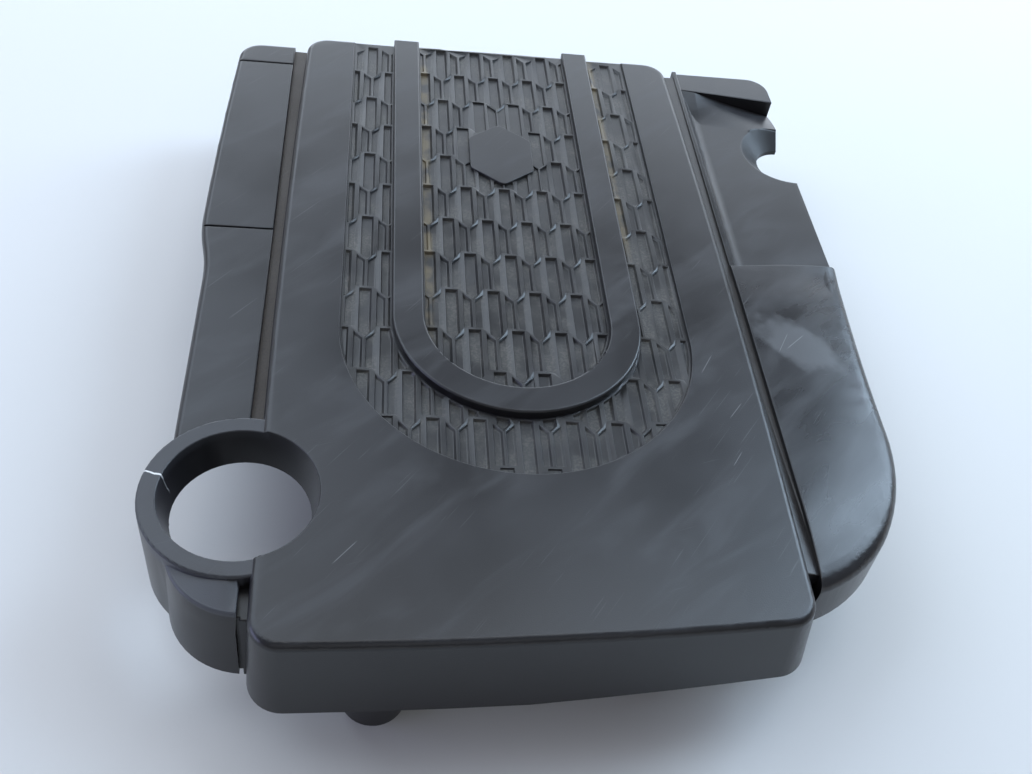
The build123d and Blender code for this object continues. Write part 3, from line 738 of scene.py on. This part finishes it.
cloud = noise(0.014, 2.0, 0.55)
dusty = patch.ramp(0.4, 0.65)
layers = (
    (wipes.ramp(0.45, 0.75) * flat * 0.6, (0.033, 0.034, 0.039, 1)),
    # painted shade: the upright walls are coloured darker than the flats, for the shade that falls on them
    (upright.ramp(0.1, 0.6, 0.75, 0.0), (0.006, 0.0055, 0.0065, 1)),
    # painted shade: the slit nearly black
    (slit, (0.001, 0.001, 0.001, 1)),
    # painted highlight: paler bluish sheen on the ring and the ledge
    (ring_ledge_sheen * 0.8, (0.062, 0.065, 0.076, 1)),
    # painted shade: the scoop darker
    (scoop * 0.8, (0.005, 0.005, 0.006, 1)),
    (honeycomb * patch.ramp(0.35, 0.7, 0.15, 0.7), (0.04, 0.039, 0.038, 1)),
    (sunk * dusty * fine.ramp(0.4, 0.65) * 0.6, (0.1, 0.093, 0.082, 1)),
    (scuff * 0.65, (0.075, 0.078, 0.085, 1)),
    (groove * fine.ramp(0.25, 0.6, 0.55, 1.0), (0.052, 0.041, 0.034, 1)),
    (brown, (0.15, 0.115, 0.062, 1)),
    (hairs * flat * 0.32, (0.12, 0.12, 0.128, 1)),
    (marks, (0.3, 0.3, 0.31, 1)),
    (crack, (0.72, 0.72, 0.72, 1)),
)
base = cloud.ramp(0.3, 0.7).between(BLACK, GREYED)
for share, colour in layers:
    base = share.between(base, colour)
feed(plastic_shader, "Base Color", base)
lobe_gloss = x.ramp(LOBE_WALL, LOBE_WALL + 2.0) * y.fade(25.0, 31.0)
dull = wipes.ramp(0.4, 0.75) * flat * 0.09 + honeycomb * 0.02 + sunk * dusty * 0.12 + scuff * 0.14 + groove * 0.25
dull = dull + crack * 0.3 + hairs * 0.1 + scoop * 0.15 + ring_ledge_sheen * 0.08
feed(plastic_shader, "Roughness", least(cloud.ramp(0.3, 0.7, 0.28, 0.35) + dull - lobe_gloss * 0.05, DULLEST))
grain = {"Strength": GRAIN_STRENGTH, "Distance": GRAIN_DEPTH, "Height": noise(1.5, 1.0, 0.6)}
feed(plastic_shader, "Normal", mm.node("ShaderNodeBump", None, grain))
plastic_shader.inputs["Specular IOR Level"].default_value = 0.45
shell.data.materials.append(plastic)
print("plastic nodes:", len(plastic.node_tree.nodes))

# %% [markdown]
# ## The grommets
# Four black rubber grommets sit in the feet of the bosses. Their shape is right in the solid, so they only get a
# finish: old rubber has a chalky bloom in patches and a fine speckle that keeps it dull.

# %% Rubber
SOOT, CHALK = (0.012, 0.012, 0.012, 1), (0.034, 0.033, 0.031, 1)
SPECK_SCALE, BLOOM_SCALE = 900.0, 120.0

rubber, rubber_shader, rubber_place = new_finish("grommet rubber")
speck_inputs = {"Vector": rubber_place, "Scale": SPECK_SCALE, "Detail": 3.0}
bloom_inputs = {"Vector": rubber_place, "Scale": BLOOM_SCALE, "Detail": 4.0}
speck = rubber_place.node("ShaderNodeTexNoise", None, speck_inputs)
bloom = rubber_place.node("ShaderNodeTexNoise", None, bloom_inputs)
feed(rubber_shader, "Base Color", bloom.ramp(0.45, 0.75).between(SOOT, CHALK))
feed(rubber_shader, "Roughness", speck.ramp(0.3, 0.7, 0.6, 0.8))
pits = speck.node("ShaderNodeBump", None, {"Strength": 0.2, "Distance": 0.0002, "Height": speck})
feed(rubber_shader, "Normal", pits)
for name in grommet_names:
    node = cad_nodes[name]
    node.data.materials.clear()
    node.data.materials.append(rubber)
print("grommets finished:", len(grommet_names))

# %% [markdown]
# ## The floor
# The cover lies on pale paper. Near it the paper is an ordinary surface that keeps the shadow. Further out it turns
# into plain white for the camera and for reflections, so that the horizon never shows. More light would do that too,
# but it would also bleach the cover.

# %% Paper floor
FLOOR_SIZE = 40.0
PAPER = (0.64, 0.64, 0.64, 1)
WHITE_FROM, WHITE_TO = 0.8, 1.9

bpy.ops.object.select_all(action="DESELECT")
bpy.ops.mesh.primitive_plane_add(size=FLOOR_SIZE, location=(0, 0, 0))
floor = bpy.context.view_layer.objects.active
floor.name = "floor"
paper, paper_shader, paper_place = new_finish("pale paper")
paper_shader.inputs["Base Color"].default_value = PAPER
paper_shader.inputs["Roughness"].default_value = 0.9
far = length(paper_place.part(0), paper_place.part(1)).ramp(WHITE_FROM, WHITE_TO)
rays = paper.node_tree.nodes.new("ShaderNodeLightPath").outputs
seen = sum(Wire(paper.node_tree, rays[kind]) for kind in ("Is Camera Ray", "Is Glossy Ray", "Is Transmission Ray"))
white = far.node("ShaderNodeEmission", None, {"Color": (1, 1, 1, 1), "Strength": 1.0})
plain = Wire(paper.node_tree, paper_shader.outputs[0])
blend = far.node("ShaderNodeMixShader", None, {0: far * least(seen, 1.0), 1: plain, 2: white})
feed(paper.node_tree.nodes["Material Output"], "Surface", blend)
floor.data.materials.append(paper)
print("floor", FLOOR_SIZE, "m wide, white from", WHITE_TO, "m outwards")

# %% [markdown]
# ## The light
# The photograph was taken by daylight from a few windows, whose soft reflections draw the flats and the edges. Each
# window is an area lamp on a sphere round the cover, given by its turn, its rise and its size. The sky behind them is
# dim, and brighter only at the horizon, where the walls look for their reflections.

# %% Sky and windows
SKY = (0.95, 0.97, 1.0, 1)
HORIZON, SKY_DIM = (0.04, 0.16), 0.22
WINDOWS = (
    # name, turn, rise, distance, width, height, glow, colour
    ("back window", 8, 18, 2.6, 3.2, 1.5, 3.0, (0.8, 0.89, 1.0)),
    ("left window", -52, 47, 2.6, 2.6, 2.2, 2.7, (0.74, 0.86, 1.0)),
    ("right window", 64, 37, 2.6, 1.1, 2.0, 8.6, (0.62, 0.8, 1.0)),
    ("high window", 42, 66, 2.6, 0.8, 0.6, 5.0, (0.75, 0.87, 1.0)),
    ("top panel", -5, 80, 2.4, 1.3, 1.0, 1.6, (0.95, 0.97, 1.0)),
    ("low left", -102, 14, 2.6, 1.8, 0.9, 4.2, (0.55, 0.6, 1.0)),
    ("front fill", 178, 46, 2.8, 2.6, 1.4, 0.4, (0.95, 0.97, 1.0)),
)

world = bpy.data.worlds.new("studio")
world.use_nodes = True
bpy.context.scene.world = world
sky = world.node_tree.nodes["Background"]
sky.inputs["Color"].default_value = SKY
ray = Wire(world.node_tree, world.node_tree.nodes.new("ShaderNodeTexCoord").outputs["Generated"])
feed(sky, "Strength", ray.part(2).ramp(*HORIZON, 1.0, SKY_DIM))


def soft_light(name, turn, rise, distance, width, height, glow, colour):
    bpy.ops.object.light_add(type="AREA")
    light = bpy.context.view_layer.objects.active
    light.name = name
    light.data.shape = "RECTANGLE"
    light.data.size = width
    light.data.size_y = height
    light.data.energy = glow * math.pi * width * height
    light.data.color = colour
    turn, rise = math.radians(turn), math.radians(rise)
    toward = Vector((math.sin(turn) * math.cos(rise), math.cos(turn) * math.cos(rise), math.sin(rise)))
    light.location = toward * distance
    light.rotation_euler = toward.to_track_quat("Z", "Y").to_euler()
    light.visible_camera = False


for window in WINDOWS:
    soft_light(*window)

# %% [markdown]
# ## The camera
# The camera stands where the photographer stood: its place, its turn and its lens were fitted to the rows of the
# honeycomb, the straight edges and the round hole. The turn is given by the directions of the picture's right and up.

# %% Camera
RIGHT = Vector((0.98924, -0.06966, 0.12874))
UP = Vector((-0.03453, 0.74362, 0.66771))
STAND = (-88.21, -474.14, 519.89)
SENSOR, LENS = 36.0, 38.03

bpy.ops.object.camera_add()
camera = bpy.context.view_layer.objects.active
facing = Matrix((RIGHT, UP, RIGHT.cross(UP))).transposed().to_4x4()
camera.matrix_world = Matrix.Translation(spot(*STAND)) @ facing
camera.data.sensor_width = SENSOR
camera.data.lens = LENS
camera.data.clip_start = 0.01
bpy.context.scene.camera = camera
bpy.context.scene.view_settings.view_transform = "Standard"
print("camera at", [round(v, 3) for v in camera.location])
